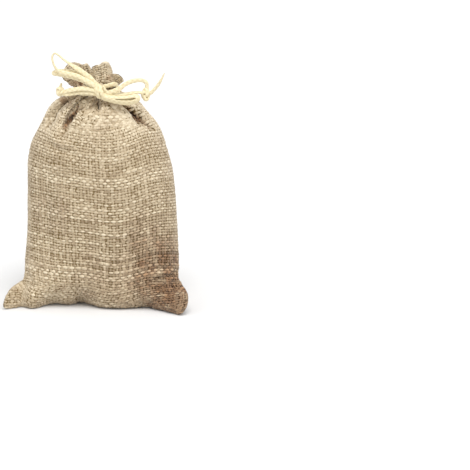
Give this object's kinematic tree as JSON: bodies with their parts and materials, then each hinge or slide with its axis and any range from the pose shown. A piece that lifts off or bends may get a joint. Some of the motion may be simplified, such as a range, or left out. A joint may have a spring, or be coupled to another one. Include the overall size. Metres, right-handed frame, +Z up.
{
  "type": "burlap drawstring sack",
  "caption": "Small filled burlap sack with a gathered neck, a short frill and corner ears, tied shut at the front with a bow of doubled cotton drawstrings.",
  "frame": {"origin": "middle of the flat base, on the surface that the sack stands on", "axes": "+Z up through the neck, +X to the sack's right side as seen from the front, and the front with the bow faces -Y"},
  "size_m": [0.0995, 0.0518, 0.1359],
  "materials": {
    "burlap": "coarse plain-weave natural burlap, slubby and uneven, matte",
    "cotton_cord": "soft unbleached cotton cord, cream, matte"
  },
  "bodies": {
    "root": {"sack": "burlap", "bow_knot": "cotton_cord", "end_knot_left": "cotton_cord", "end_knot_right": "cotton_cord", "channel_run_left_a": "cotton_cord", "channel_run_left_b": "cotton_cord", "channel_run_right_a": "cotton_cord", "channel_run_right_b": "cotton_cord", "bow_loop_left_a": "cotton_cord", "bow_loop_left_b": "cotton_cord", "bow_loop_right_a": "cotton_cord", "bow_loop_right_b": "cotton_cord", "free_end_left_a": "cotton_cord", "free_end_left_b": "cotton_cord", "free_end_right_a": "cotton_cord", "free_end_right_b": "cotton_cord", "tail_left": "cotton_cord", "tail_right": "cotton_cord"}
  },
  "joints": []
}
